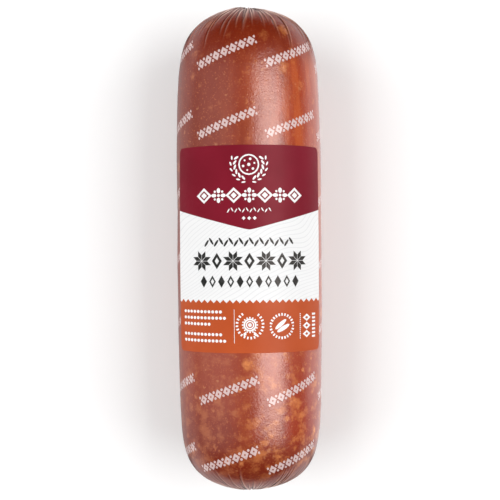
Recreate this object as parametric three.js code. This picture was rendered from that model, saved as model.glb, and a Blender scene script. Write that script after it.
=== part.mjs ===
// A short, thick cured sausage lying on its side: a meat filling stuffed into a printed casing,
// which is gathered into pleats at both ends and closed by a bent wire clip that sits in the dimple
// of each end, with a printed label stuck round the upper side.
//
// Millimetres, +Z up. The sausage lies along Y, its label facing up, and it rests on z = 0 with the
// middle of its resting face at the origin.
import * as THREE from "three";

// ---- Driving dimensions -----------------------------------------------------------------------
const LENGTH = 173.2; // from the crest of one end to the crest of the other
const RADIUS = 26.25; // the body's radius at its thickest, half-way along
const REST_DEPTH = 0.7; // how far the soft underside has settled flat
const WALL = 0.3; // the casing
const FILLING_GAP = 0.3; // between the casing and the filling
const CREST_RISE = 0.4; // the dome's own apex would be this far past the crest

// How each end closes. taper: the share of the radius lost towards the end. shoulder: how late the
// dome begins. fullness: how blunt the dome is.
const BACK_END = { side: 1, taper: 0.046, shoulder: 11.4, fullness: 1.83 };
const FRONT_END = { side: -1, taper: 0.054, shoulder: 12.4, fullness: 1.78 };

// The dimple that holds the clip, as depths below the crest and radii about the axis.
const CREST_RADIUS = 5.4;
const DIMPLE_DEPTH = 4.3;
const NECK_RADIUS = 1.6;
const NECK_BORE = 0.7; // the way left through the gathered casing
const TAIL_RADIUS = 2.4; // the trimmed casing beyond the clip
const TAIL_PROUD = 0.1; // above the crest

const CLIP_DEPTH = 2.5; // the clip's middle below the crest
const CLIP_WIRE = 1.7; // thickness along the axis
const CLIP_WIDTH = 1.5; // thickness across the axis
const CLIP_TURN = 2.75; // radius of the wire's centre line
const CLIP_MOUTH = THREE.MathUtils.degToRad(24); // left open where the legs meet

const LABEL_HEIGHT = 71.6; // along the sausage
const LABEL_HALF_TURN = THREE.MathUtils.degToRad(70); // each way from the top
const LABEL_CORNER = 2.4;
const LABEL_GAP = 0.12;
const LABEL_THICKNESS = 0.18;

const PLEATS = 20;
const PLEAT_HEIGHT = 0.45;
const PLEAT_REACH = 9; // how far below the crest the pleats fade out

const SEGMENTS = 3 * PLEATS; // round the axis: a valley, a ridge and a slope for each pleat
const DOME_STEPS = 8;
const BODY_STATIONS = [-52, -36, -18, 0, 18, 36, 52];

// ---- Outlines ---------------------------------------------------------------------------------
const HALF_LENGTH = LENGTH / 2;
const APEX = HALF_LENGTH + CREST_RISE;
const AXIS_HEIGHT = RADIUS - REST_DEPTH;

// The body's radius at a place along the axis: a slight barrel that closes in a blunt dome.
function bodyRadius(y) {
  const { taper, shoulder, fullness } = y > 0 ? BACK_END : FRONT_END;
  const t = Math.abs(y) / APEX;
  return RADIUS * (1 - taper * t * t) * (1 - t ** shoulder) ** (1 / fullness);
}

// Points of one dome, from near the crest to where the straight body begins. Equal steps of the
// angle put the points close together where the dome turns fast.
function domePoints(end) {
  const CREST_ANGLE = 1.2;
  const BODY_ANGLE = 0.14;
  return Array.from({ length: DOME_STEPS }, (_, i) => {
    const angle = THREE.MathUtils.lerp(CREST_ANGLE, BODY_ANGLE, i / (DOME_STEPS - 1));
    const y = end.side * APEX * Math.sin(angle) ** (2 / end.shoulder);
    return new THREE.Vector2(bodyRadius(y), y);
  });
}

// The dimple's wall from beside the neck out over the crest, as (radius, height along the axis).
function dimplePoints(end) {
  const wall = [
    [NECK_RADIUS + 0.3, DIMPLE_DEPTH - 0.3],
    [NECK_RADIUS + 1.1, DIMPLE_DEPTH],
    [CREST_RADIUS - 1.1, DIMPLE_DEPTH * 0.6],
    [CREST_RADIUS - 0.8, DIMPLE_DEPTH * 0.2],
    [CREST_RADIUS, 0],
  ];
  return wall.map(([r, depth]) => new THREE.Vector2(r, end.side * (HALF_LENGTH - depth)));
}

// The neck under the clip and the short tail that flares out of it.
function neckPoints(end) {
  const CLIP_CLEAR = CLIP_WIRE / 2 + 0.2;
  const neck = [
    [TAIL_RADIUS, -TAIL_PROUD],
    [NECK_RADIUS, CLIP_DEPTH - CLIP_CLEAR],
    [NECK_RADIUS, CLIP_DEPTH + CLIP_CLEAR],
  ];
  return neck.map(([r, depth]) => new THREE.Vector2(r, end.side * (HALF_LENGTH - depth)));
}

// One half of the outer skin below the neck, from the dimple to the last dome point.
const halfSkin = (end) => [...dimplePoints(end), ...domePoints(end)];
const bodyPoints = BODY_STATIONS.map((y) => new THREE.Vector2(bodyRadius(y), y));

// The whole skin from the bottom end to the top end, without the necks.
const skin = [...halfSkin(FRONT_END), ...bodyPoints, ...halfSkin(BACK_END).reverse()];

// An outline moved inwards by a distance, along the mean normal of the two sides at each point.
function inset(outline, distance) {
  return outline.map((p, i) => {
    const before = outline[Math.max(i - 1, 0)];
    const after = outline[Math.min(i + 1, outline.length - 1)];
    const along = after.clone().sub(before).normalize();
    return new THREE.Vector2(p.x - distance * along.y, p.y + distance * along.x);
  });
}

// ---- Surfaces ---------------------------------------------------------------------------------
// Turns an outline round the Y axis.
function turned(outline, segments = SEGMENTS) {
  return new THREE.LatheGeometry(outline, segments);
}

// Moves each vertex by a function of its position.
function reshaped(geometry, move) {
  const position = geometry.getAttribute("position");
  const vertex = new THREE.Vector3();
  for (let i = 0; i < position.count; i++) {
    move(vertex.fromBufferAttribute(position, i));
    position.setXYZ(i, vertex.x, vertex.y, vertex.z);
  }
  return geometry;
}

// Settles the underside: nothing stays lower than a plane this far above the table.
const settled = (geometry, above) =>
  reshaped(geometry, (v) => {
    v.z = Math.max(v.z, above - AXIS_HEIGHT);
  });

// Lifts a vertex of the skin off the smooth dome. Each pleat rises steeply and falls gently, and
// neighbouring pleats differ in height.
function liftPleat(v) {
  const turn = Math.atan2(v.x, v.z);
  const place = THREE.MathUtils.euclideanModulo((turn / (2 * Math.PI)) * PLEATS, PLEATS);
  const index = Math.floor(place + 1e-6);
  const step = Math.round((place - index) * 3) % 3;
  const rise = [0, 1, 0.45][step];
  const uneven = 0.75 + 0.25 * Math.sin(index * 2.4);
  const depth = HALF_LENGTH - Math.abs(v.y);
  const fade = THREE.MathUtils.smoothstep(PLEAT_REACH - depth, 0, PLEAT_REACH);
  const STEP = 0.1;
  const slope = (bodyRadius(v.y + STEP) - bodyRadius(v.y - STEP)) / (2 * STEP);
  const lift = (PLEAT_HEIGHT * rise * uneven * fade) / Math.hypot(1, slope);
  const spread = 1 + lift / Math.hypot(v.x, v.z);
  v.set(v.x * spread, v.y - lift * slope, v.z * spread);
}

// ---- Pieces -----------------------------------------------------------------------------------
function casingGeometry() {
  const inner = inset(skin, WALL);
  const bore = (end, depth) =>
    new THREE.Vector2(NECK_BORE, end.side * (HALF_LENGTH - depth));
  const boreTop = bore(BACK_END, -TAIL_PROUD);
  const outline = [
    ...neckPoints(FRONT_END),
    ...skin,
    ...neckPoints(BACK_END).reverse(),
    boreTop,
    bore(BACK_END, DIMPLE_DEPTH + WALL),
    ...inner.slice(1, -1).reverse(),
    bore(FRONT_END, DIMPLE_DEPTH + WALL),
    bore(FRONT_END, -TAIL_PROUD),
    neckPoints(FRONT_END)[0],
  ];
  const isOutside = (v) => {
    const radius = Math.hypot(v.x, v.z);
    return radius > Math.max(bodyRadius(v.y) - WALL / 2, CREST_RADIUS - WALL / 2);
  };
  return reshaped(turned(outline), (v) => {
    const outside = isOutside(v);
    if (outside) liftPleat(v);
    v.z = Math.max(v.z, (outside ? 0 : WALL) - AXIS_HEIGHT);
  });
}

function fillingGeometry() {
  const FILLING_SEGMENTS = SEGMENTS / 2;
  const inside = WALL + FILLING_GAP;
  const end = HALF_LENGTH - DIMPLE_DEPTH - inside;
  const meat = inset(skin, inside).slice(1, -1);
  const outline = [new THREE.Vector2(0, -end), ...meat, new THREE.Vector2(0, end)];
  return settled(turned(outline, FILLING_SEGMENTS), inside);
}

// The label is a rounded rectangle of film bent round the casing: each of its stations along the
// sausage is an arc, narrower near the ends where the corners are rounded.
function labelGeometry() {
  const ACROSS = 28;
  const half = LABEL_HEIGHT / 2;
  const corner = [0, 0.12, 0.45, 1].map((share) => half - LABEL_CORNER * share);
  const stations = [...corner.map((y) => -y), -half / 3, half / 3, ...corner.toReversed()];
  const halfTurn = (y) => {
    const into = Math.max(0, Math.abs(y) - (half - LABEL_CORNER));
    const lost = LABEL_CORNER - Math.sqrt(LABEL_CORNER ** 2 - into ** 2);
    return LABEL_HALF_TURN - lost / RADIUS;
  };
  const vertices = [];
  for (const lift of [LABEL_GAP, LABEL_GAP + LABEL_THICKNESS])
    for (const y of stations)
      for (let i = 0; i <= ACROSS; i++) {
        const turn = halfTurn(y) * ((2 * i) / ACROSS - 1);
        const radius = bodyRadius(y) + lift;
        vertices.push(radius * Math.sin(turn), y, radius * Math.cos(turn));
      }
  const rows = stations.length;
  const at = (layer, row, column) => (layer * rows + row) * (ACROSS + 1) + column;
  const faces = [];
  const quad = (a, b, c, d) => faces.push(a, b, c, a, c, d);
  for (let row = 0; row + 1 < rows; row++)
    for (let i = 0; i < ACROSS; i++) {
      quad(at(1, row, i), at(1, row, i + 1), at(1, row + 1, i + 1), at(1, row + 1, i));
      quad(at(0, row, i), at(0, row + 1, i), at(0, row + 1, i + 1), at(0, row, i + 1));
    }
  for (let row = 0; row + 1 < rows; row++) {
    quad(at(0, row, 0), at(1, row, 0), at(1, row + 1, 0), at(0, row + 1, 0));
    const last = ACROSS;
    quad(at(0, row, last), at(0, row + 1, last), at(1, row + 1, last), at(1, row, last));
  }
  for (let i = 0; i < ACROSS; i++) {
    const end = rows - 1;
    quad(at(0, 0, i), at(0, 0, i + 1), at(1, 0, i + 1), at(1, 0, i));
    quad(at(0, end, i), at(1, end, i), at(1, end, i + 1), at(0, end, i + 1));
  }
  const geometry = new THREE.BufferGeometry();
  geometry.setAttribute("position", new THREE.Float32BufferAttribute(vertices, 3));
  geometry.setIndex(faces);
  return geometry;
}

// A clip is a flat-sided wire bent round the neck until its two legs nearly meet.
class ClipCurve extends THREE.Curve {
  getPoint(t, target = new THREE.Vector3()) {
    const turn = CLIP_MOUTH / 2 + t * (2 * Math.PI - CLIP_MOUTH);
    return target.set(CLIP_TURN * Math.sin(turn), 0, CLIP_TURN * Math.cos(turn));
  }
}

function clipGeometry() {
  const CHAMFER = 0.35;
  const [w, h] = [CLIP_WIRE / 2, CLIP_WIDTH / 2];
  const section = new THREE.Shape([
    new THREE.Vector2(-w + CHAMFER, -h),
    new THREE.Vector2(w - CHAMFER, -h),
    new THREE.Vector2(w, -h + CHAMFER),
    new THREE.Vector2(w, h - CHAMFER),
    new THREE.Vector2(w - CHAMFER, h),
    new THREE.Vector2(-w + CHAMFER, h),
    new THREE.Vector2(-w, h - CHAMFER),
    new THREE.Vector2(-w, -h + CHAMFER),
  ]);
  return new THREE.ExtrudeGeometry(section, { steps: 28, extrudePath: new ClipCurve() });
}

// ---- The object -------------------------------------------------------------------------------
function piece(name, geometry, color, roughness, metalness = 0) {
  const material = new THREE.MeshStandardMaterial({ color, roughness, metalness });
  const mesh = new THREE.Mesh(geometry, material);
  mesh.name = name;
  return mesh;
}

function clip(name, end) {
  const mesh = piece(name, clipGeometry(), 0xc9cbcf, 0.35, 1);
  mesh.position.y = end.side * (HALF_LENGTH - CLIP_DEPTH);
  return mesh;
}

const sausage = new THREE.Group();
sausage.add(
  piece("filling", fillingGeometry(), 0x8e3a26, 0.6),
  piece("casing", casingGeometry(), 0xa04a32, 0.35),
  piece("label", labelGeometry(), 0xf2f1ef, 0.45),
  clip("back_clip", BACK_END),
  clip("front_clip", FRONT_END),
);
sausage.position.z = AXIS_HEIGHT;

export default sausage;
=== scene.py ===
import math

import bpy
import numpy as np
from mathutils import Matrix, Vector, noise


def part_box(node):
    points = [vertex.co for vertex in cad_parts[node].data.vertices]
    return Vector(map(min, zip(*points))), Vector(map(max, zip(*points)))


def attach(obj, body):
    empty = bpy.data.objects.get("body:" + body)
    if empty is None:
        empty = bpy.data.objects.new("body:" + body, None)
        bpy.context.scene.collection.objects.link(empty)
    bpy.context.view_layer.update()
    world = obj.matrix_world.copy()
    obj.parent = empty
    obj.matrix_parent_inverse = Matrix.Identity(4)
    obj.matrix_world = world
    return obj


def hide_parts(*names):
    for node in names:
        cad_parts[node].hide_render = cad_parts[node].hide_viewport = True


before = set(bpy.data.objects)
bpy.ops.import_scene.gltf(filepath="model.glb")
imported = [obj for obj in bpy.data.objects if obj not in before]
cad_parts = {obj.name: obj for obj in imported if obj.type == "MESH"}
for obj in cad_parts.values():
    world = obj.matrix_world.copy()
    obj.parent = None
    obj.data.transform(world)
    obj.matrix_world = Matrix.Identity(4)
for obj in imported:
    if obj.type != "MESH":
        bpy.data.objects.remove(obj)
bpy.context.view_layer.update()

MM = 0.001

# ---- Sizes ------------------------------------------------------------------------------------
casing_low, casing_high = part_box("casing")
RADIUS = (casing_high[0] - casing_low[0]) / 2
AXIS_Z = casing_high[2] - RADIUS

CREST = 86.6 * MM  # from the middle of the body to the crest of either end
APEX = CREST + 0.4 * MM
CREST_RADIUS = 5.4 * MM
WALL = 0.3 * MM

# How each end closes: the radius lost towards the end, how late the dome begins, how blunt it is.
BACK_SHAPE = (0.046, 11.4, 1.83)
FRONT_SHAPE = (0.054, 12.4, 1.78)

# The dimple from the crest to the neck, the neck and its flared tail, and the way through it, as
# (radius, depth below the crest) in millimetres.
DIMPLE = [(5.2, 0.03), (4.9, 0.2), (4.65, 0.9), (4.4, 2.0), (4.0, 3.0), (3.3, 3.9), (2.5, 4.3),
          (1.9, 4.1), (1.65, 3.5)]
NECK = [(1.6, 2.5), (1.7, 1.2), (2.1, 0.4), (2.4, -0.1)]
BORE = [(2.1, -0.1), (0.9, 1.3), (0.7, 4.6)]

CASING_STEPS = 770  # round the axis

# How thickly points lie along the skin, as (first, last, step) in millimetres from the crest, and
# the places of the inner wall's few points.
SKIN_POINTS = [(0, 24, 1), (24, 34, 2), (34, 110, 7)]
INNER_POINTS = np.array([1.5, 5, 9.5, 14, 19, 26, 45, 75]) * MM

# The label: half its height, how far it reaches each way round, its corners and its thickness.
LABEL_HALF = (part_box("label")[1][1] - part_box("label")[0][1]) / 2
LABEL_TURN = math.radians(68.8)
LABEL_CORNER = 2.3 * MM
LABEL_GAP = 0.1 * MM
LABEL_THICKNESS = 0.15 * MM
INK_THICKNESS = 0.03 * MM
INK_GAP = 0.004 * MM

# The clips: how deep below the crest they sit, the radius they are bent to, the gap between their
# ends, and half the width and height of their wire.
CLIP_DEPTH = 2.5 * MM
CLIP_BEND = 2.55 * MM
CLIP_MOUTH = math.radians(16)
CLIP_WIRE = (0.72 * MM, 0.85 * MM)

SMOOTH_ANGLE = math.radians(40)  # sharper turns than this stay edges on the label and the clips


# ---- Modelling helpers ------------------------------------------------------------------------
def deselect():
    if bpy.context.object and bpy.context.object.mode != "OBJECT":
        bpy.ops.object.mode_set(mode="OBJECT")
    bpy.ops.object.select_all(action="DESELECT")


def select(piece):
    deselect()
    piece.select_set(True)
    bpy.context.view_layer.objects.active = piece


def edit(piece):
    select(piece)
    bpy.ops.object.mode_set(mode="EDIT")
    bpy.ops.mesh.select_all(action="SELECT")


def leave_edit():
    bpy.ops.object.mode_set(mode="OBJECT")


def named(name):
    piece = bpy.context.object
    piece.name = piece.data.name = name
    return piece


def finish_piece(piece, slot, materials, *nodes, smooth_angle=None):
    """Smooths a piece, gives it its materials and joins it to the frame."""
    select(piece)
    if smooth_angle is None:
        bpy.ops.object.shade_smooth()
    else:
        bpy.ops.object.shade_smooth_by_angle(angle=smooth_angle)
    for material in materials:
        piece.data.materials.append(material)
    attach(piece, "root")
    if nodes:
        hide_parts(*nodes)


def coordinates(mesh):
    co = np.empty(len(mesh.vertices) * 3, np.float32)
    mesh.vertices.foreach_get("co", co)
    return co.reshape(-1, 3).astype(float)


def move_vertices(mesh, co):
    mesh.vertices.foreach_set("co", co.astype(np.float32).ravel())
    mesh.update()


def corner_vertices(mesh):
    """The vertex that each face corner stands on."""
    corner = np.empty(len(mesh.loops), np.int32)
    mesh.loops.foreach_get("vertex_index", corner)
    return corner


def write_map(mesh, name, u, v):
    """A UV map from a value of U and of V for each face corner."""
    layer = mesh.uv_layers.new(name=name)
    layer.uv.foreach_set("vector", np.stack([u, v], 1).astype(np.float32).ravel())


def read(mesh, name):
    values = np.empty(len(mesh.vertices), np.float32)
    mesh.attributes[name].data.foreach_get("value", values)
    return values.astype(float)


def write(mesh, name, values):
    if name not in mesh.attributes:
        mesh.attributes.new(name, "FLOAT", "POINT")
    mesh.attributes[name].data.foreach_set("value", np.asarray(values, np.float32))


def smoothstep(x, low, high):
    t = np.clip((x - low) / (high - low), 0, 1)
    return t * t * (3 - 2 * t)


# ---- The body's outline -----------------------------------------------------------------------
def body_radius(y):
    """The body's radius at a place along the axis: a slight barrel that closes in blunt domes."""
    y = np.asarray(y, float)
    taper, shoulder, fullness = (np.where(y > 0, b, f) for b, f in zip(BACK_SHAPE, FRONT_SHAPE))
    t = np.minimum(np.abs(y) / APEX, 1)
    return RADIUS * (1 - taper * t * t) * (1 - t**shoulder) ** (1 / fullness)


def meridian(side):
    """The outline from the middle of the body to the crest of one end, finely: y, radius and
    distance along it."""
    shoulder = (BACK_SHAPE if side > 0 else FRONT_SHAPE)[1]
    y = side * APEX * np.sin(np.linspace(0, math.pi / 2, 4000)) ** (2 / shoulder)
    radius = body_radius(y)
    keep = (radius > CREST_RADIUS) & (np.abs(y) < CREST)
    y, radius = np.append(y[keep], side * CREST), np.append(radius[keep], CREST_RADIUS)
    along = np.concatenate([[0], np.cumsum(np.hypot(np.diff(y), np.diff(radius)))])
    return y, radius, along


def half_outline(side, distances):
    """(radius, y, along) for points at distances from the crest, from the crest to the middle."""
    y, radius, along = meridian(side)
    places = along[-1] - distances[distances < along[-1]]
    return [(np.interp(p, along, radius), np.interp(p, along, y), side * p) for p in places]


CREST_ALONG = {side: meridian(side)[2][-1] for side in (1, -1)}


# ---- Casing -----------------------------------------------------------------------------------
def spun(name, outline, steps, attributes):
    """Draws an outline beside the axis point by point, closes it, and spins it right round. Each
    attribute holds one value for each point, which the spun vertices keep."""
    deselect()
    bpy.ops.mesh.primitive_plane_add(size=MM, enter_editmode=True)
    bpy.ops.mesh.merge(type="CENTER")
    places = [Vector((0, y, AXIS_Z - radius)) for radius, y in outline]
    last = Vector((0, 0, 0))
    for place in places:
        if place is places[0]:
            bpy.ops.transform.translate(value=place - last)
        else:
            bpy.ops.mesh.extrude_region_move(TRANSFORM_OT_translate={"value": place - last})
        last = place
    leave_edit()
    piece = named(name)
    for key, values in attributes.items():
        write(piece.data, key, values)
    edit(piece)
    bpy.ops.mesh.select_all(action="DESELECT")
    leave_edit()
    piece.data.vertices[0].select = True
    piece.data.vertices[len(outline) - 1].select = True
    bpy.ops.object.mode_set(mode="EDIT")
    bpy.ops.mesh.edge_face_add()
    bpy.ops.mesh.select_all(action="SELECT")
    bpy.ops.mesh.spin(steps=steps, angle=2 * math.pi, center=(0, 0, AXIS_Z), axis=(0, 1, 0),
                      use_auto_merge=True)
    bpy.ops.mesh.select_all(action="SELECT")
    bpy.ops.mesh.remove_doubles(threshold=0.001 * MM)
    bpy.ops.mesh.normals_make_consistent(inside=False)
    leave_edit()
    return piece


def casing_outline():
    """The closed outline of the casing's wall. For each point: radius, y, distance along the skin
    from the middle of the body, and whether it is on the outer skin (1) or the inner wall (0)."""
    outer = np.concatenate([np.arange(*stretch) for stretch in SKIN_POINTS]) * MM

    def hollow(profile, side, skin):
        """The points of a profile that starts at a crest and goes in."""
        here, along, found = np.array([CREST_RADIUS, side * CREST]), CREST_ALONG[side], []
        for radius, depth in profile:
            there = np.array([radius * MM, side * (CREST - depth * MM)])
            along += np.linalg.norm(there - here)
            found.append((*there, side * along, skin))
            here = there
        return found

    def skin_of(side):
        return [(*p, 1) for p in half_outline(side, outer)]

    def wall_of(side):
        found = []
        outside = half_outline(side, INNER_POINTS)
        nearer_crest = half_outline(side, INNER_POINTS - 0.2 * MM)
        for (r, y, along), (near_r, near_y, _) in zip(outside, nearer_crest):
            tangent = Vector((r - near_r, y - near_y)).normalized()
            out = Vector((abs(tangent.y), side * abs(tangent.x)))
            found.append((r - WALL * out.x, y - WALL * out.y, along, 0))
        return found

    points = hollow(DIMPLE + NECK, -1, 1)[::-1] + skin_of(-1) + [(RADIUS, 0, 0, 1)]
    points += skin_of(1)[::-1] + hollow(DIMPLE + NECK, 1, 1) + hollow(BORE, 1, 0)
    return points + wall_of(1) + wall_of(-1)[::-1] + hollow(BORE, -1, 0)[::-1]


# The skin is gathered a little above the axis, so the pleats fan out over the top.
FAN = 0.5
FAN_LENGTH = 11 * MM


def fan_out(below):
    """How far a pleat on the flank has swung down at a distance below the crest, in radians."""
    return FAN * (1 - np.exp(-np.maximum(below, 0) / FAN_LENGTH))


def unfanned(turn, below):
    """The turn at which the pleat through a place leaves the crest."""
    at = turn
    for _ in range(12):
        at = turn - fan_out(below) * np.sin(at)
    return at


def pleats(seed, count, shortest, longest, depth, width, middle):
    """Turn, reach, depth, sway and width of each pleat of one end. Those over the top reach only
    the middle share of what those down the flanks do."""
    random = np.random.default_rng(seed)
    turn = (np.arange(count) + random.uniform(-0.34, 0.34, count)) * 2 * math.pi / count
    flank = np.abs(np.sin(turn))
    reach = random.uniform(shortest, longest, count) * MM * (middle + (1 - middle) * flank)
    depths = random.uniform(0.5, 1, count) * depth * MM
    sway = random.uniform(-0.006, 0.006, count) / MM
    widths = random.uniform(0.8, 1.2, count) * width * MM
    return list(zip(turn, reach, depths, sway, widths))


BACK_MIDDLE, FRONT_MIDDLE = 0.78, 0.5
BACK_PLEATS = (pleats(7, 62, 17, 33, 0.5, 0.24, BACK_MIDDLE)
               + pleats(11, 34, 8, 15, 0.36, 0.23, BACK_MIDDLE))
# The front end has two deeper pleats over the top among its many fine ones.
FRONT_PLEATS = (pleats(23, 90, 13, 30, 0.32, 0.18, FRONT_MIDDLE)
                + pleats(29, 46, 7, 15, 0.28, 0.18, FRONT_MIDDLE)
                + [(0.03, 15 * MM, 0.34 * MM, 0.0, 0.26 * MM),
                   (-0.14, 21 * MM, 0.3 * MM, 0.0, 0.26 * MM)])
PLEATS_END = 27 * MM  # below the crest, where the longest stop
MOST_RISE = 0.3 * MM
NECK_PRESS = 0.75  # the share of every rise that the clip presses flat


def fold_field(turn, radius, below, folds):
    """How far the gathered skin rises, and how much each place is a crease or a ridge. Below is
    the distance from the crest, which is negative in the dimple."""
    rise, crease, ridge = (np.zeros_like(turn) for _ in range(3))
    for at, reach, depth, sway, full_width in folds:
        fade = np.clip(1 - (np.maximum(below, 0) / reach) ** 2, 0, 1)
        middle = at + fan_out(below) * math.sin(at) + sway * below
        aside = (turn - middle + math.pi) % (2 * math.pi) - math.pi
        arc = aside * radius
        # A pleat is pressed narrower towards the neck.
        width = full_width * (0.45 + 0.72 * radius / RADIUS)
        groove = np.exp(-((arc / width) ** 2))
        lip = np.exp(-(((arc - 2.1 * width) / (1.3 * width)) ** 2))
        rise += fade * depth * (0.62 * lip - groove)
        crease = np.maximum(crease, fade * np.minimum(groove * 1.8, 1))
        ridge = np.maximum(ridge, fade * np.minimum(lip * 1.4, 1))
    return MOST_RISE * np.tanh(rise / MOST_RISE), crease, ridge


def outward(radius, y):
    """The outward direction at each point of a closed outline."""
    along_r = np.roll(radius, -1) - np.roll(radius, 1)
    along_y = np.roll(y, -1) - np.roll(y, 1)
    length = np.hypot(along_r, along_y)
    return along_y / length, -along_r / length


def hump(turn, middle, width, height):
    """A rise of so many millimetres about one turn, which fades out to both sides."""
    return height * MM * np.exp(-(((turn - middle) / width) ** 2))


def unevenness(co, turn, below, side, neck):
    """How far the skin stands off its even shape, apart from the pleats."""
    # One fold of the back end stands higher than the rest, and its other side has sunk a little.
    gathered = smoothstep(-below, -11 * MM, 0)
    back = hump(turn, -0.62, 0.42, 0.34) + hump(turn, 1.2, 0.75, -0.36)
    front = hump(turn, 0.5, 1.1, -0.3)
    rise = gathered * np.where(side > 0, back, front) * (1 - neck)
    # The gathered skin is thicker than the rest.
    rise += 0.16 * MM * gathered * (1 - NECK_PRESS * neck)
    # The cut edge of the tail is ruffled.
    tail = smoothstep(-below, 11 * MM, 14 * MM)
    rise += tail * (0.22 * MM * np.cos(9 * turn) + 0.1 * MM * np.cos(22 * turn + 1))
    # The stuffed body is never quite even.
    slow = np.array([noise.noise(Vector(p) * 48) + 0.3 * noise.noise(Vector(p) * 120) for p in co])
    return rise + 0.3 * MM * slow * smoothstep(below, 0, 20 * MM)


def settle(co, skin):
    """Flattens the underside on what it lies on, with a gentle turn at the flat strip's edges."""
    floor = WALL * (1 - skin)
    ease = 0.12 * MM
    above = co[:, 2] - floor
    co[:, 2] = floor + np.where(above < 2 * MM, (above + np.hypot(above, ease)) / 2, above)


def make_casing(materials):
    radius, y, along, skin = (np.array(v) for v in zip(*casing_outline()))
    out_r, out_y = outward(radius, y)
    attributes = {"along": along, "skin": skin, "out_r": out_r, "out_y": out_y}
    piece = spun("printed_casing", list(zip(radius, y)), CASING_STEPS, attributes)
    mesh = piece.data

    co = coordinates(mesh)
    along, skin, out_r, out_y = (read(mesh, key) for key in attributes)
    across, up = co[:, 0], co[:, 2] - AXIS_Z
    radius = np.hypot(across, up)
    turn = np.arctan2(across, up)
    side = np.where(co[:, 1] > 0, 1, -1)
    crest = np.where(side > 0, CREST_ALONG[1], CREST_ALONG[-1])
    below = crest - np.abs(along)

    rise, crease, ridge = (np.zeros(len(co)) for _ in range(3))
    for end, folds in ((1, BACK_PLEATS), (-1, FRONT_PLEATS)):
        near = (side == end) & (skin > 0.5) & (below < PLEATS_END)
        found = fold_field(turn[near], radius[near], below[near], folds)
        rise[near], crease[near], ridge[near] = found
    neck = smoothstep(-below, 3 * MM, 6 * MM)
    rise *= 1 - NECK_PRESS * neck
    rise = skin * (rise + unevenness(co, turn, below, side, neck))
    co[:, 0] += rise * out_r * across / radius
    co[:, 1] += rise * out_y
    co[:, 2] += rise * out_r * up / radius
    settle(co, skin)
    move_vertices(mesh, co)

    # The creases and ridges are masks for painted shade and painted highlight.
    write(mesh, "crease", np.clip(crease, 0, 1))
    write(mesh, "ridge", np.clip(ridge, 0, 1))
    lifted = smoothstep(-below, -16 * MM, -6 * MM) * skin
    write(mesh, "gathered", lifted * np.where(side > 0, 1, 0.75))
    wrap_map(mesh, "film", turn, along, lambda angle, place: angle * radius[place] / MM)
    wrap_map(mesh, "pleats", turn, below,
             lambda angle, place: unfanned(angle, below[place]) / (2 * math.pi))
    for key in attributes:
        mesh.attributes.remove(mesh.attributes[key])
    finish_piece(piece, "casing", materials, "casing")


def wrap_map(mesh, name, turn, down, round_):
    """Lays the film flat: U is what round_ makes of the turn from the top, and V is down, in
    millimetres. A face that crosses the underside, where the turn starts again, keeps its corners
    together."""
    corner = corner_vertices(mesh)
    first = np.empty(len(mesh.polygons), np.int32)
    mesh.polygons.foreach_get("loop_start", first)
    count = np.empty(len(mesh.polygons), np.int32)
    mesh.polygons.foreach_get("loop_total", count)
    angle = turn[corner]
    low, high = np.minimum.reduceat(angle, first), np.maximum.reduceat(angle, first)
    crosses = np.repeat(high - low > math.pi, count)
    angle = np.where(crosses & (angle < 0), angle + 2 * math.pi, angle)
    write_map(mesh, name, round_(angle, corner), down[corner] / MM)


# ---- Label ------------------------------------------------------------------------------------
# Artwork is laid out in millimetres about the label's middle. It spreads a little towards the
# label's sides, so that it keeps its look when the label is read from straight above.
SPREAD = 0.101
LABEL_RADIUS = RADIUS + LABEL_GAP


def art_place(turn):
    """Where the artwork's millimetre scale is at a turn from the top."""
    return LABEL_RADIUS / MM * (turn - SPREAD * turn**3)


def art_turn(place):
    """The turn at which a place of the artwork lies."""
    turn = place * MM / LABEL_RADIUS
    for _ in range(6):
        slope = LABEL_RADIUS / MM * (1 - 3 * SPREAD * turn**2)
        turn = turn - (art_place(turn) - place) / slope
    return turn


def cut_across(low, high, step, axis):
    """Cuts the edit mesh by evenly spaced planes, so that it can bend."""
    for place in np.arange(low, high, step):
        at, normal = [0, 0, 0], [0, 0, 0]
        at[axis], normal[axis] = place, 1
        bpy.ops.mesh.select_all(action="SELECT")
        bpy.ops.mesh.bisect(plane_co=at, plane_no=normal)


def wrap_round(mesh, turn, y, lift):
    """Bends a flat sheet round the body."""
    radius = body_radius(y) + lift
    move_vertices(mesh, np.stack([radius * np.sin(turn), y, AXIS_Z + radius * np.cos(turn)], 1))


def thicken(piece, thickness, rim_material=0):
    select(piece)
    solid = piece.modifiers.new("thickness", "SOLIDIFY")
    solid.thickness = thickness
    solid.offset = 1
    solid.material_offset_rim = rim_material
    bpy.ops.object.modifier_apply(modifier=solid.name)


def make_label(materials):
    """The sheet, whose face has the first material and whose cut edge has the second."""
    half_arc = LABEL_RADIUS * LABEL_TURN
    deselect()
    bpy.ops.mesh.primitive_plane_add(size=2, enter_editmode=True)
    bpy.ops.transform.resize(value=(half_arc, LABEL_HALF, 1))
    bpy.ops.mesh.bevel(offset=LABEL_CORNER, segments=8, affect="VERTICES")
    # Cuts lie closer together round the body than along it.
    cut_across(-half_arc + 0.4 * MM, half_arc, 0.9 * MM, 0)
    cut_across(-LABEL_HALF + 4 * MM, LABEL_HALF, 4 * MM, 1)
    leave_edit()
    piece = named("label_sheet")
    mesh = piece.data
    co = coordinates(mesh)
    turn = co[:, 0] / LABEL_RADIUS
    for old in list(mesh.uv_layers):
        mesh.uv_layers.remove(old)
    corner = corner_vertices(mesh)
    write_map(mesh, "artwork", art_place(turn)[corner], co[corner, 1] / MM)
    wrap_round(mesh, turn, co[:, 1], LABEL_GAP)
    for material in materials:
        mesh.materials.append(material)
    thicken(piece, LABEL_THICKNESS, rim_material=1)
    finish_piece(piece, "label", [], "label", smooth_angle=SMOOTH_ANGLE)


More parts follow.
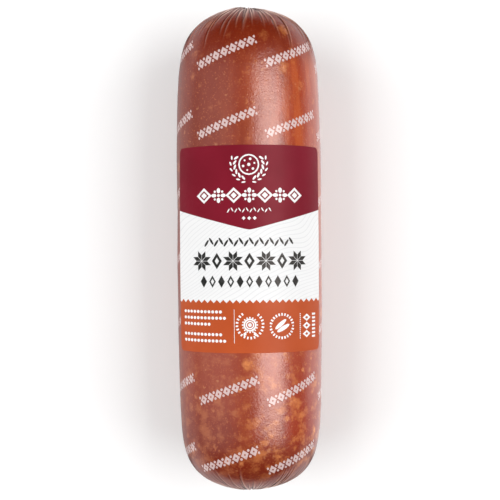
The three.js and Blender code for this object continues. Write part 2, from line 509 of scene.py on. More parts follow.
# ---- The label's ornaments --------------------------------------------------------------------
# Each function adds flat shapes to the edit mesh, at places in the artwork's millimetres. Shapes
# never overlap.
def shape(sides, u, v, width, height, tilt=0, stroke=0):
    """A disc, lozenge or leaf of the given number of sides. With a stroke it is an outline."""
    centre = (u * MM, v * MM, 0)
    bpy.ops.mesh.primitive_circle_add(vertices=sides, radius=width / 2 * MM, fill_type="NGON",
                                      location=centre)
    pull(centre, height / width, tilt)
    if stroke:
        bpy.ops.mesh.inset(thickness=stroke * MM)
        bpy.ops.mesh.delete(type="FACE")


def bar(u, v, width, height, tilt=0):
    centre = (u * MM, v * MM, 0)
    bpy.ops.mesh.primitive_plane_add(size=width * MM, location=centre)
    pull(centre, height / width, tilt)


def pull(centre, stretch, tilt):
    """Stretches a new shape along V and then turns it."""
    if stretch != 1:
        bpy.ops.transform.resize(value=(1, stretch, 1))
    if tilt:
        bpy.ops.transform.rotate(value=-math.radians(tilt), orient_axis="Z",
                                 center_override=centre)


def disc(u, v, size, stroke=0):
    shape(20, u, v, size, size, stroke=stroke)


def dot(u, v, size):
    shape(8, u, v, size, size)


def lozenge(u, v, width, height, tilt=0, stroke=0):
    shape(4, u, v, width, height, tilt, stroke)


def leaf(u, v, width, length, tilt):
    shape(8, u, v, width, length, tilt)


def polar(u, v, radius, degrees):
    angle = math.radians(degrees)
    return u + radius * math.cos(angle), v + radius * math.sin(angle)


def star(u, v, size):
    """Eight lozenges that meet in the middle."""
    for k in range(8):
        degrees = 22.5 + 45 * k
        at = polar(u, v, size * 0.265, degrees)
        lozenge(*at, size * 0.2, size * 0.47, degrees - 90)


def flower(u, v, size):
    """Four leaves round a dot, with a dot between each two."""
    disc(u, v, size * 0.2)
    for k in range(4):
        degrees = 90 * k
        leaf(*polar(u, v, size * 0.34, degrees), size * 0.27, size * 0.38, degrees - 90)
        disc(*polar(u, v, size * 0.38, degrees + 45), size * 0.16)


def medallion(u, v):
    """A round slice between two sprays of leaves."""
    disc(u, v, 7.2, stroke=0.5)
    disc(u, v, 1.1)
    for k in range(6):
        disc(*polar(u, v, 2.0, 60 * k + 15), 0.9 if k % 2 else 0.65)
    for side in (1, -1):
        for k in range(6):
            degrees = 90 - side * (62 + 19 * k)
            leaf(*polar(u, v, 4.9, degrees), 0.75, 1.9, degrees + side * 28)
            leaf(*polar(u, v, 6.3, degrees - side * 6), 0.6, 1.5, degrees - side * 30)


def band_of_seven(u, v, pitch, height):
    """Hollow lozenges with solid hearts, and flowers between them."""
    for k in range(-3, 4):
        if k % 2:
            lozenge(u + k * pitch, v, pitch * 1.06, height, stroke=0.72)
            lozenge(u + k * pitch, v, pitch * 0.4, height * 0.4)
        else:
            flower(u + k * pitch, v, pitch * 0.92)


def sprig(u, v, length, pitch, leaf_length):
    """A row of slim leaves that lean to one side and the other in turn."""
    count = int(length / pitch)
    for k in range(count):
        at = u + (k - (count - 1) / 2) * pitch
        lean = 32 if k % 2 else -32
        leaf(at, v + (0.12 if k % 2 else -0.12) * leaf_length, leaf_length * 0.27, leaf_length, lean)


def dotted_row(low, high, v, size, pitch):
    for u in np.arange(low + size / 2, high, pitch):
        dot(u, v, size)


def rosette(u, v):
    """A scalloped seal with two ribbon ends inside a ring of dashes."""
    disc(u, v, 4.5, stroke=0.55)
    disc(u, v, 2.9, stroke=0.42)
    disc(u, v, 1.3)
    for k in range(16):
        shape(10, *polar(u, v, 2.55, 22.5 * k), 0.55, 0.55)
    for side in (1, -1):
        lozenge(u + side * 1.75, v - 3.1, 1.1, 1.9, side * 28)
    ring_of_dashes(u, v, 4.5, range(-235, 56, 15))


def ring_of_dashes(u, v, radius, angles):
    for degrees in angles:
        bar(*polar(u, v, radius, degrees), 0.9, 0.55, degrees)


LEAF_LEAN = 35


def leaf_mark(u, v):
    """A broad leaf with its midrib left clear, inside a broken ring of dashes."""
    for side in (1, -1):
        at = polar(u, v, 0.82, LEAF_LEAN + 90 * side)
        shape(10, *at, 1.45, 5.2, LEAF_LEAN - 90 + side * 5)
    ring_of_dashes(u, v, 4.05, [*range(15, 166, 15), *range(195, 346, 15)])
    disc(u - 4.05, v, 0.6)
    disc(u + 4.05, v, 0.6)


def side_block(u, v):
    """Three upright columns at the right of the label."""
    for at in np.arange(-4.2, 4.3, 0.7):
        dot(u - 3.2, v + at, 0.45)
    for k in (-1, 0, 1):
        lozenge(u - 0.5, v + 2.85 * k, 3.3, 2.6, stroke=0.6)
    for k in range(-3, 4):
        bar(u + 2.7, v + 1.3 * k, 1.5, 0.7)


def draw_white():
    medallion(0, 29.0)
    band_of_seven(0.1, 18.5, 5.35, 5.4)
    sprig(0, 13.4, 16.5, 1.3, 1.6)
    for k in (-1, 0, 1):
        lozenge(1.9 * k, 10.6, 1.3, 1.3)
    # Rows of dots: where each lies, and how far right it reaches.
    rows = ((-21.65, -8.9), (-23.8, -7.6), (-25.95, -14.0), (-29.5, -9.5), (-31.7, -7.6))
    for v, high in rows:
        dotted_row(-24.8, high, v, 1.12, 1.4)
    bar(-5.4, -26.6, 0.16, 11.6)
    rosette(0, -26.1)
    leaf_mark(11.2, -26.7)
    side_block(21.3, -26.9)


def draw_black():
    sprig(-0.2, 2.4, 31.5, 1.75, 2.9)
    for k in range(4):
        star(5.67 * (2 * k - 3), -4.1, 7.4)
    for k in (-1, 0, 1):
        lozenge(11.34 * k, -4.1, 3.6, 5.6, stroke=0.85)
    for k in range(-5, 6):
        lozenge(3.25 * k, -11.2, 2.4, 4.2, stroke=0 if k % 2 else 0.5)


INK_HALF_WIDTH = 26.4 * MM


def make_ink(name, draw, material):
    """Draws flat ornaments, cuts them so that they bend with the label, wraps them on its face
    and gives them the thickness of printed ink."""
    deselect()
    bpy.ops.mesh.primitive_plane_add(size=MM, enter_editmode=True)
    bpy.ops.mesh.delete(type="VERT")
    draw()
    cut_across(-INK_HALF_WIDTH, INK_HALF_WIDTH + 0.1 * MM, 1.2 * MM, 0)
    leave_edit()
    piece = named(name)
    co = coordinates(piece.data)
    lift = LABEL_GAP + LABEL_THICKNESS + INK_GAP
    wrap_round(piece.data, art_turn(co[:, 0] / MM), co[:, 1], lift)
    thicken(piece, INK_THICKNESS)
    finish_piece(piece, "label", [material], smooth_angle=SMOOTH_ANGLE)


# ---- Clips ------------------------------------------------------------------------------------
def make_clip(name, node, side, material):
    """An oval wire bent round the gathered neck until its ends nearly meet."""
    deselect()
    middle = side * (CREST - CLIP_DEPTH)
    start = CLIP_MOUTH / 2
    bpy.ops.mesh.primitive_circle_add(vertices=20, radius=1, fill_type="NGON", enter_editmode=True)
    bpy.ops.transform.resize(value=(*CLIP_WIRE, 1))
    bpy.ops.transform.translate(value=(CLIP_BEND, middle, AXIS_Z))
    centre = (0, middle, AXIS_Z)
    bpy.ops.transform.rotate(value=math.pi / 2 - start, orient_axis="Y", center_override=centre)
    bpy.ops.mesh.spin(steps=96, angle=2 * math.pi - CLIP_MOUTH, center=centre, axis=(0, 1, 0))
    bpy.ops.mesh.select_all(action="SELECT")
    bpy.ops.mesh.remove_doubles(threshold=0.0005 * MM)
    bpy.ops.mesh.normals_make_consistent(inside=False)
    leave_edit()
    finish_piece(named(name), "clip", [material], node, smooth_angle=SMOOTH_ANGLE)


# ---- Shader building --------------------------------------------------------------------------
class Tree:
    """Adds nodes to a node tree by short calls. A value is a number, a colour or a socket."""

    def __init__(self, tree):
        self.tree = tree

    def put(self, socket, value):
        if isinstance(value, bpy.types.NodeSocket):
            self.tree.links.new(value, socket)
        else:
            opaque = socket.type == "RGBA" and len(value) == 3
            socket.default_value = (*value, 1) if opaque else value

    def node(self, kind, inputs=(), **settings):
        made = self.tree.nodes.new(kind)
        for key, value in settings.items():
            setattr(made, key, value)
        for key, value in dict(inputs).items():
            self.put(made.inputs[key], value)
        return made

    def math(self, operation, a, b=0.0, c=0.0):
        return self.node("ShaderNodeMath", {0: a, 1: b, 2: c}, operation=operation).outputs[0]

    def add(self, a, b):
        return self.math("ADD", a, b)

    def minus(self, a, b):
        return self.math("SUBTRACT", a, b)

    def times(self, a, b):
        return self.math("MULTIPLY", a, b)

    def map(self, value, low, high, to_low=0.0, to_high=1.0, smooth=True):
        """Carries the range from low to high over to the range from to_low to to_high."""
        kind = "SMOOTHSTEP" if smooth else "LINEAR"
        inputs = {"Value": value, "From Min": low, "From Max": high, "To Min": to_low,
                  "To Max": to_high}
        made = self.node("ShaderNodeMapRange", inputs, interpolation_type=kind, clamp=True)
        return made.outputs["Result"]

    def mix(self, amount, a, b):
        """The colour a, turned into the colour b by an amount."""
        made = self.node("ShaderNodeMix", data_type="RGBA")
        self.put(made.inputs["Factor"], amount)
        self.put(made.inputs[6], a)
        self.put(made.inputs[7], b)
        return made.outputs[2]

    def noise(self, vector, scale, detail=2.0, rough=0.5):
        inputs = {"Vector": vector, "Scale": scale, "Detail": detail, "Roughness": rough}
        return self.node("ShaderNodeTexNoise", inputs).outputs["Fac"]

    def zigzag(self, value, pitch):
        """Falls from a half to nought and rises again once in every pitch."""
        share = self.math("FRACT", self.math("DIVIDE", value, pitch))
        return self.math("ABSOLUTE", self.minus(share, 0.5))

    def vector(self, operation, inputs):
        return self.node("ShaderNodeVectorMath", inputs, operation=operation).outputs[0]

    def length(self, a, b):
        """The distance from nought to a place given by its two coordinates."""
        return self.math("SQRT", self.add(self.times(a, a), self.times(b, b)))

    def attribute(self, name):
        return self.node("ShaderNodeAttribute", attribute_name=name).outputs["Fac"]

    def place(self, stretch=(1, 1, 1)):
        """Object coordinates in millimetres."""
        where = self.node("ShaderNodeTexCoord").outputs["Object"]
        inputs = {"Vector": where, "Scale": [s / MM for s in stretch]}
        return self.node("ShaderNodeMapping", inputs).outputs["Vector"]

    def flat(self, name):
        """The two coordinates of a UV map."""
        where = self.node("ShaderNodeUVMap", uv_map=name).outputs["UV"]
        parts = self.node("ShaderNodeSeparateXYZ", {0: where})
        return parts.outputs[0], parts.outputs[1]

    def group(self, group, inputs):
        return self.node("ShaderNodeGroup", inputs, node_tree=group).outputs

    def bump(self, height, distance):
        return self.node("ShaderNodeBump", {"Height": height, "Distance": distance}).outputs["Normal"]


def new_group(name, inputs, outputs):
    """An empty shader node group with named sockets: its tree and its input sockets."""
    group = bpy.data.node_groups.new(name, "ShaderNodeTree")
    kinds = {"value": "NodeSocketFloat", "vector": "NodeSocketVector", "colour": "NodeSocketColor"}
    for key, kind in inputs:
        group.interface.new_socket(key, in_out="INPUT", socket_type=kinds[kind])
    for key, kind in outputs:
        group.interface.new_socket(key, in_out="OUTPUT", socket_type=kinds[kind])
    tree = Tree(group)
    return group, tree, tree.node("NodeGroupInput").outputs


def close_group(tree, outputs):
    tree.node("NodeGroupOutput", outputs)


def new_material(name):
    """A material with its node tree and its Principled shader."""
    material = bpy.data.materials.new(name)
    material.use_nodes = True
    tree = Tree(material.node_tree)
    return material, tree, material.node_tree.nodes["Principled BSDF"]


def set_shader(tree, shader, **values):
    """Sets the shader's sockets, whose names are written with underscores."""
    for key, value in values.items():
        tree.put(shader.inputs[key.replace("_", " ")], value)


# ---- Shared effects ---------------------------------------------------------------------------
def make_fleck_group():
    """Soft irregular flecks, such as fat in meat. Amount is the share of cells that hold one, and
    Tone is a chance value of each fleck's own."""
    group, t, given = new_group(
        "Fat flecks",
        [("Vector", "vector"), ("Size", "value"), ("Amount", "value"), ("Softness", "value")],
        [("Mask", "value"), ("Tone", "value")])
    wobble = t.node("ShaderNodeTexNoise", {"Vector": given["Vector"], "Scale": 0.6, "Detail": 2.0,
                                           "Roughness": 0.6})
    shift = t.vector("SUBTRACT", {0: wobble.outputs["Color"], 1: (0.5, 0.5, 0.5)})
    moved = t.vector("ADD", {0: given["Vector"], 1: t.vector("SCALE", {0: shift, "Scale": 1.9})})
    inputs = {"Vector": moved, "Scale": t.math("DIVIDE", 1.0, given["Size"]), "Randomness": 1.0,
              "Smoothness": 0.35}
    cells = t.node("ShaderNodeTexVoronoi", inputs, feature="SMOOTH_F1")
    chance, tone, _ = t.node("ShaderNodeSeparateColor", {0: cells.outputs["Color"]}).outputs
    absent = t.minus(1.0, given["Amount"])
    size = t.map(chance, absent, 1.0, 0.0, 0.56, smooth=False)
    ragged = t.times(t.minus(t.noise(given["Vector"], 1.0, 3.0, 0.55), 0.5), 0.55)
    edge = t.add(t.minus(size, cells.outputs["Distance"]), ragged)
    mask = t.times(t.map(edge, 0.0, given["Softness"]), t.map(size, 0.0, 0.08))
    close_group(t, {"Mask": mask, "Tone": tone})
    return group


def make_grain_group():
    """A fine surface grain with slower unevenness under it, as a height and a mask."""
    group, t, given = new_group(
        "Surface grain", [("Vector", "vector"), ("Fine", "value"), ("Coarse", "value")],
        [("Height", "value"), ("Mottle", "value")])
    fine = t.noise(given["Vector"], given["Fine"], 3.0, 0.6)
    coarse = t.noise(given["Vector"], given["Coarse"], 3.0, 0.55)
    close_group(t, {"Height": t.add(t.times(fine, 0.6), t.times(coarse, 0.8)), "Mottle": coarse})
    return group


def make_pleat_group():
    """Fine pleats that start at the crest and run out at different lengths, each a crease with a lip
    beside it: masks for relief, painted shade in the crease and painted highlight on the lip.
    Round is in whole turns; the other sizes are in millimetres."""
    group, t, given = new_group(
        "Fine pleats",
        [("Round", "value"), ("Below", "value"), ("Radius", "value"), ("Count", "value"),
         ("Longest", "value"), ("Middle", "value")],
        [("Crease", "value"), ("Lip", "value")])
    cell = t.times(given["Round"], given["Count"])
    own = t.math("WRAP", t.math("FLOOR", cell), given["Count"], 0.0)
    drawn = t.node("ShaderNodeTexWhiteNoise", {"W": t.add(own, given["Count"])}, noise_dimensions="1D")
    chance = t.node("ShaderNodeSeparateColor", {0: drawn.outputs["Color"]}).outputs
    path = t.node("ShaderNodeCombineXYZ", {0: t.times(own, 3.7), 1: t.times(given["Below"], 0.13)})
    wander = t.times(t.minus(t.noise(path.outputs[0], 1.0, 1.0), 0.5), 0.6)
    middle = t.add(t.add(0.35, t.times(chance[0], 0.3)), wander)
    pitch = t.math("DIVIDE", t.times(given["Radius"], 2 * math.pi), given["Count"])
    aside = t.times(t.minus(t.math("FRACT", cell), middle), pitch)
    width = t.add(0.11, t.times(given["Radius"], 0.009))
    narrow = t.times(width, 0.3)
    crease = t.map(t.math("ABSOLUTE", aside), width, narrow)
    lip = t.map(t.math("ABSOLUTE", t.minus(aside, t.times(width, 1.5))), width, narrow)
    # Over the top they reach only the middle share of what they do down the flanks.
    flank = t.math("ABSOLUTE", t.math("SINE", t.times(given["Round"], 2 * math.pi)))
    share = t.add(given["Middle"], t.times(flank, t.minus(1.0, given["Middle"])))
    reach = t.times(t.times(given["Longest"], share), t.add(0.3, t.times(chance[1], 0.7)))
    strength = t.add(0.5, t.times(chance[2], 0.5))
    fade = t.times(t.map(given["Below"], reach, t.times(reach, 0.4)), strength)
    close_group(t, {"Crease": t.times(crease, fade), "Lip": t.times(lip, fade)})
    return group


# The print: slanted marks in rows and columns. Sizes are in millimetres on the flat film.
MARK_PITCH = 25.43
MARK_FIRST = -8.34
ROW_PITCH = 22.76
ROW_FIRST = -2.67
ROW_DRIFT = 7.6e-6  # rows drift apart by this share of the square of their distance
LAST_ROW = 3.5
MARK_TILT = math.radians(20)
MARK_LENGTH = 23.1
MARK_HEIGHT = 3.5
MARK_SHAPES = 7
MARK_DOT = 0.5


def make_print_group():
    """Slanted marks, each a chain of pierced lozenges with pairs of dots between them."""
    group, t, given = new_group("Casing print", [("Round", "value"), ("Along", "value")],
                                [("Mask", "value")])
    # Rows drift a little further apart towards the domes, where the film is stretched.
    along = t.minus(given["Along"], ROW_FIRST)
    drift = t.minus(1.0, t.times(t.times(along, along), ROW_DRIFT))
    row = t.times(t.math("DIVIDE", along, ROW_PITCH), drift)
    column = t.math("DIVIDE", t.minus(given["Round"], MARK_FIRST), MARK_PITCH)
    round_ = t.times(t.minus(t.math("FRACT", t.add(column, 0.5)), 0.5), MARK_PITCH)
    along_ = t.times(t.minus(t.math("FRACT", t.add(row, 0.5)), 0.5), ROW_PITCH * 1.04)
    cos, sin = math.cos(MARK_TILT), math.sin(MARK_TILT)
    a = t.add(t.times(round_, cos), t.times(along_, sin))
    b = t.math("ABSOLUTE", t.minus(t.times(along_, cos), t.times(round_, sin)))
    width = MARK_LENGTH / MARK_SHAPES
    cell = t.minus(t.math("FRACT", t.add(t.math("DIVIDE", a, width), 0.5)), 0.5)
    aside = t.math("ABSOLUTE", t.times(cell, width))
    reach = t.add(t.math("DIVIDE", aside, width * 0.46), t.math("DIVIDE", b, MARK_HEIGHT / 2))
    ring = t.times(t.map(reach, 1.0, 0.93), t.map(reach, 0.2, 0.28))
    from_dot = t.length(t.minus(width / 2, aside), t.minus(b, MARK_HEIGHT * 0.3))
    chain = t.math("MAXIMUM", ring, t.map(from_dot, MARK_DOT, MARK_DOT - 0.07))
    inside = t.map(t.math("ABSOLUTE", a), MARK_LENGTH / 2 + 0.3, MARK_LENGTH / 2 + 0.22)
    in_rows = t.map(t.math("ABSOLUTE", row), LAST_ROW, LAST_ROW - 0.01)
    close_group(t, {"Mask": t.times(t.times(chain, inside), in_rows)})
    return group


# ---- Materials --------------------------------------------------------------------------------
# Linear colours of the meat, of the fat in it, and of the film over them.
MEAT, MEAT_PALE, MEAT_STREAK = (0.225, 0.027, 0.009), (0.31, 0.045, 0.015), (0.37, 0.07, 0.018)
# These three are painted light: brighter, oranger meat down the right side where the key light falls,
# its streaks and its front.
LIT_AMBER, LIT_AMBER_STREAK, LIT_AMBER_FRONT = (0.385, 0.04, 0.003), (0.49, 0.076, 0.009), (0.325, 0.022, 0.001)
# The first is painted shade and painted reflection for the duller, greyer left side; the second is
# painted shade for the domes; the third is the redder front.
LEFT_SHADE_AND_REFLECTION, DOME_SHADE, RED_FRONT = (0.215, 0.036, 0.021), (0.17, 0.013, 0.001), (0.37, 0.06, 0.026)
# The second is painted light: fat brighter down the right side, where the key light falls.
FAT, FAT_LIT = (0.56, 0.185, 0.07), (0.82, 0.29, 0.075)
FAT_DOT, FAT_SPECK = (0.52, 0.15, 0.05), (0.6, 0.24, 0.1)
# The first is the paler gathered film, partly a painted reflection; the other two are painted
# highlights on the pleats' lips.
LIFTED_FILM_AND_REFLECTION, LIP_HIGHLIGHT, LIP_HIGHLIGHT_PALE = (0.37, 0.115, 0.1), (0.7, 0.36, 0.25), (1.0, 0.68, 0.58)
# Painted shade in the pleats' creases.
CREASE_SHADE, FINE_CREASE_SHADE = (0.045, 0.007, 0.004), (0.04, 0.006, 0.004)
PRINT = (0.65, 0.49, 0.475)

# The fine pleats' two families: how many at the back and at the front, and the longest in mm.
FINE_PLEATS = [(64.0, 90.0, 31.0), (118.0, 140.0, 16.0)]


def meat_colour(t, across, y, back_dome):
    """Brown-red clouds and long smoke streaks, redder towards the front, with painted light down the
    right side, painted shade and painted reflection down the left, and painted shade in the domes."""
    clouds = t.noise(t.place((1, 0.6, 1)), 0.11, 4.0, 0.6)
    streaks = t.noise(t.place((1, 0.1, 1)), 0.3, 3.0, 0.55)
    meat = t.mix(t.map(clouds, 0.3, 0.7), MEAT, MEAT_PALE)
    meat = t.mix(t.map(streaks, 0.42, 0.75, 0.0, 0.6), meat, MEAT_STREAK)
    ragged = t.add(across, t.times(t.minus(clouds, 0.5), 14.0))
    # Painted light: the right side turns brighter amber where the key light falls.
    lit_side = t.times(t.map(ragged, 8.0, 17.0), t.map(t.math("ABSOLUTE", y), 80.0, 62.0))
    lit_amber_colour = t.mix(t.map(streaks, 0.4, 0.62), LIT_AMBER, LIT_AMBER_STREAK)
    lit_amber_colour = t.mix(t.map(y, -20.0, -50.0), lit_amber_colour, LIT_AMBER_FRONT)
    meat = t.mix(t.times(lit_side, 0.85), meat, lit_amber_colour)
    # Painted shade and painted reflection: the left side turns duller and greyer.
    meat = t.mix(t.map(across, 4.0, -15.0, 0.0, 0.8), meat, LEFT_SHADE_AND_REFLECTION)
    # Painted shade: both domes darken.
    dome_shade = t.add(t.times(back_dome, 0.85), t.map(y, -62.0, -78.0, 0.0, 0.85))
    meat = t.mix(dome_shade, meat, DOME_SHADE)
    towards_front = t.times(t.map(y, -66.0, -42.0), t.map(y, 30.0, -10.0))
    return t.mix(t.times(towards_front, 0.5), meat, RED_FRONT)


def with_fat(t, meat, flecks, where, across, y, back_dome):
    """Lays fat of several sizes in the meat. It is thicker in the front third, where it also makes
    soft patches, and round the back shoulder. The smallest specks are fewer on the back dome."""
    front = t.map(y, -22.0, -52.0)
    shoulder = t.times(t.map(y, 52.0, 70.0), t.map(y, 82.0, 76.0))
    amount = t.add(0.34, t.add(t.times(front, 0.45), t.times(shoulder, 0.25)))
    big = t.group(flecks, {"Vector": where, "Size": 6.6, "Amount": amount, "Softness": 0.5})
    small = t.group(flecks, {"Vector": where, "Size": 3.2, "Amount": amount, "Softness": 0.5})
    fat = t.math("MAXIMUM", t.times(big["Mask"], t.map(big["Tone"], 0.0, 1.0, 0.6, 1.1)),
                 t.times(small["Mask"], t.map(small["Tone"], 0.0, 1.0, 0.3, 0.95)))
    warm_side = t.map(across, 2.0, 13.0)
    patches = t.minus(t.noise(where, 0.22, 3.0, 0.6), t.times(warm_side, 0.03))
    patches = t.times(t.map(patches, 0.45, 0.7), t.times(front, t.add(0.4, t.times(warm_side, 0.15))))
    fat = t.times(t.math("MAXIMUM", fat, patches), t.map(y, 60.0, -20.0, 0.6, 1.0))
    fat = t.times(fat, t.times(t.map(y, -84.0, -70.0, 0.3, 1.0), t.map(y, 58.0, 76.0, 1.0, 0.75)))
    # Painted light: the fat grows brighter towards the right side, where the key light falls.
    colour = t.mix(fat, meat, t.mix(t.map(across, -10.0, 8.0), FAT, FAT_LIT))

    fewer = t.minus(1.0, t.times(back_dome, 0.75))
    dots = t.map(t.noise(where, 1.5, 1.0), 0.58, 0.75, 0.0, 0.45)
    colour = t.mix(t.times(dots, fewer), colour, FAT_DOT)
    specks = t.group(flecks, {"Vector": where, "Size": 1.6, "Amount": 0.12, "Softness": 0.3})["Mask"]
    return t.mix(t.times(t.times(specks, 0.35), fewer), colour, FAT_SPECK)


def fine_pleats(t, pleat_group, across, y, up):
    """The creases and the lips of the fine pleats that lie between the deep ones."""
    turn, below = t.flat("pleats")
    radius = t.length(across, t.minus(up, AXIS_Z / MM))
    at_front = t.math("LESS_THAN", y, 0.0)
    middle = t.map(at_front, 0.0, 1.0, BACK_MIDDLE, FRONT_MIDDLE)
    found = []
    for back_count, front_count, longest in FINE_PLEATS:
        count = t.add(back_count, t.times(at_front, front_count - back_count))
        found.append(t.group(pleat_group, {"Round": turn, "Below": below, "Radius": radius,
                                           "Count": count, "Longest": longest, "Middle": middle}))
    long, short = found
    return (t.math("MAXIMUM", long["Crease"], short["Crease"]),
            t.math("MAXIMUM", long["Lip"], short["Lip"]))


def casing_material(flecks, grain, print_group, pleat_group):
    """Smoked, printed film over red meat, whose fat shows through."""
    material, t, shader = new_material("smoked_printed_film")
    where = t.place()
    across, y, up = t.node("ShaderNodeSeparateXYZ", {0: where}).outputs
    surface = t.group(grain, {"Vector": where, "Fine": 1.7, "Coarse": 0.45})
    back_dome = t.map(y, 60.0, 78.0)
    colour = meat_colour(t, across, y, back_dome)
    colour = with_fat(t, colour, flecks, where, across, y, back_dome)

    # The film lifts off the meat where it is gathered and is paler there, partly a painted reflection,
    # with painted shade in the creases and painted highlight on the lips.
    gathered, crease, ridge = (t.attribute(name) for name in ("gathered", "crease", "ridge"))
    fine_crease, fine_lip = fine_pleats(t, pleat_group, across, y, up)
    lip = t.mix(gathered, LIP_HIGHLIGHT, LIP_HIGHLIGHT_PALE)
    # Paler where the film is gathered, partly a painted reflection.
    colour = t.mix(t.times(gathered, 0.42), colour, LIFTED_FILM_AND_REFLECTION)
    # Painted highlight on the lips of the deep pleats.
    colour = t.mix(t.times(ridge, t.map(gathered, 0.0, 0.75, 0.45, 0.95)), colour, lip)
    # Painted shade in the creases of the deep pleats.
    colour = t.mix(t.times(crease, 0.85), colour, CREASE_SHADE)
    # Painted highlight on the lips of the fine pleats.
    colour = t.mix(t.times(fine_lip, t.map(gathered, 0.0, 0.75, 0.6, 1.0)), colour, lip)
    # Painted shade in the creases of the fine pleats.
    colour = t.mix(t.times(fine_crease, 0.95), colour, FINE_CREASE_SHADE)

    # The print is thin white ink that the meat tints, a little uneven.
    round_, along = t.flat("film")
    ink = t.group(print_group, {"Round": round_, "Along": along})["Mask"]
    ink = t.times(ink, t.map(t.noise(where, 0.9, 3.0), 0.25, 0.5, 0.78, 0.93))
    ink = t.times(ink, t.map(gathered, 0.75, 0.35))
    colour = t.mix(ink, colour, PRINT)

    rough = t.map(surface["Mottle"], 0.25, 0.75, 0.17, 0.24, smooth=False)
    rough = t.add(rough, t.add(t.times(gathered, 0.05), t.times(ink, 0.06)))
    # A broad soft sheen lies over the clear gloss, less where the film is drawn tight on the dome.
    tight = t.times(t.times(back_dome, t.minus(1.0, gathered)), 0.9)
    deep = t.math("MAXIMUM", crease, fine_crease)
    sheen = t.times(t.minus(1.0, tight), t.minus(1.0, deep))
    relief = t.add(surface["Height"], t.times(ink, 0.25))
    relief = t.add(relief, t.minus(t.times(fine_lip, 0.5), fine_crease))
    set_shader(t, shader, Base_Color=colour, Roughness=rough, Specular_IOR_Level=1.0,
               Coat_Weight=sheen, Coat_Roughness=0.38, Coat_IOR=1.3,
               Normal=t.bump(relief, 0.135 * MM))
    return material


def meat_material(flecks, grain):
    """Firm red meat with flecks of fat, which the casing hides."""
    material, t, shader = new_material("cured_meat")
    where = t.place()
    surface = t.group(grain, {"Vector": where, "Fine": 1.8, "Coarse": 0.4})
    fat = t.group(flecks, {"Vector": where, "Size": 5.0, "Amount": 0.55, "Softness": 0.12})
    meat = t.mix(surface["Mottle"], (0.23, 0.03, 0.016), (0.42, 0.08, 0.045))
    set_shader(t, shader, Base_Color=t.mix(fat["Mask"], meat, (0.78, 0.5, 0.38)),
               Roughness=t.map(surface["Mottle"], 0.2, 0.8, 0.4, 0.6),
               Normal=t.bump(surface["Height"], 0.12 * MM))
    return material


# The label's print, in the artwork's millimetres.
HEADING_TIP, HEADING_SLOPE, TIP_SOFTNESS = 6.7, 0.272, 1.2
FOOT_TOP, TOOTH_PITCH = -18.6, 2.3
LINE_PITCH = 1.35
PAPER, CONTOUR_LINE = (0.765, 0.765, 0.765), (0.56, 0.56, 0.57)
WINE, WINE_PALE = (0.17, 0.002, 0.013), (0.19, 0.003, 0.016)
ORANGE, ORANGE_PALE = (0.43, 0.068, 0.014), (0.46, 0.077, 0.018)


def label_material(grain):
    """Satin printed paper: a dark red heading with a pointed foot, a white field with fine pale
    lines, and an orange foot with a pinked upper edge."""
    material, t, shader = new_material("printed_label")
    u, v = t.flat("artwork")
    where = t.place()
    surface = t.group(grain, {"Vector": where, "Fine": 3.5, "Coarse": 0.25})

    # Fine contour lines that slant and drift across the white field.
    slow = t.noise(where, 0.03, 1.0)
    field = t.add(t.add(t.times(u, -0.5), t.times(v, 0.87)), t.times(slow, 17.0))
    line = t.map(t.zigzag(field, LINE_PITCH), 0.13, 0.04)
    white = t.mix(t.times(line, 0.42), PAPER, CONTOUR_LINE)

    # The heading's foot is a wide point with a softened tip.
    aside = t.minus(t.math("SQRT", t.add(t.times(u, u), TIP_SOFTNESS)), math.sqrt(TIP_SOFTNESS))
    foot = t.add(HEADING_TIP, t.times(aside, HEADING_SLOPE))
    heading = t.map(t.minus(v, foot), -0.06, 0.06)
    wine = t.mix(t.map(t.noise(where, 0.08, 2.0), 0.3, 0.7), WINE, WINE_PALE)
    colour = t.mix(heading, white, wine)

    # The orange foot's upper edge is pinked: even teeth.
    edge = t.add(FOOT_TOP, t.times(t.zigzag(u, TOOTH_PITCH), TOOTH_PITCH))
    base = t.map(t.minus(edge, v), -0.05, 0.05)
    orange = t.mix(t.map(t.noise(where, 0.07, 2.0), 0.3, 0.7), ORANGE, ORANGE_PALE)
    set_shader(t, shader, Base_Color=t.mix(base, colour, orange), Specular_IOR_Level=0.19,
               Roughness=t.map(surface["Mottle"], 0.2, 0.8, 0.48, 0.53),
               Normal=t.bump(surface["Height"], 0.006 * MM))
    return material


def paper_edge_material(grain):
    """The label's bare white cut edge."""
    material, t, shader = new_material("paper_edge")
    surface = t.group(grain, {"Vector": t.place(), "Fine": 4.0, "Coarse": 0.6})
    white = t.mix(surface["Mottle"], (0.8, 0.79, 0.77), (0.88, 0.87, 0.85))
    set_shader(t, shader, Base_Color=white, Roughness=0.8)
    return material


def ink_material(name, grain, thin, full):
    """Printed ink that covers a little unevenly."""
    material, t, shader = new_material(name)
    surface = t.group(grain, {"Vector": t.place(), "Fine": 3.0, "Coarse": 0.8})
    set_shader(t, shader, Base_Color=t.mix(t.map(surface["Mottle"], 0.3, 0.55), thin, full),
               Roughness=t.map(surface["Mottle"], 0.2, 0.8, 0.45, 0.55), Specular_IOR_Level=0.6)
    return material


def clip_material(grain):
    """Drawn aluminium wire with marks from the closing tool."""
    material, t, shader = new_material("drawn_aluminium")
    surface = t.group(grain, {"Vector": t.place((1, 6, 1)), "Fine": 1.6, "Coarse": 0.5})
    metal = t.mix(surface["Mottle"], (0.62, 0.63, 0.65), (0.82, 0.83, 0.85))
    set_shader(t, shader, Base_Color=metal, Metallic=1.0,
               Roughness=t.map(surface["Mottle"], 0.25, 0.75, 0.24, 0.42),
               Normal=t.bump(surface["Height"], 0.03 * MM))
    return material


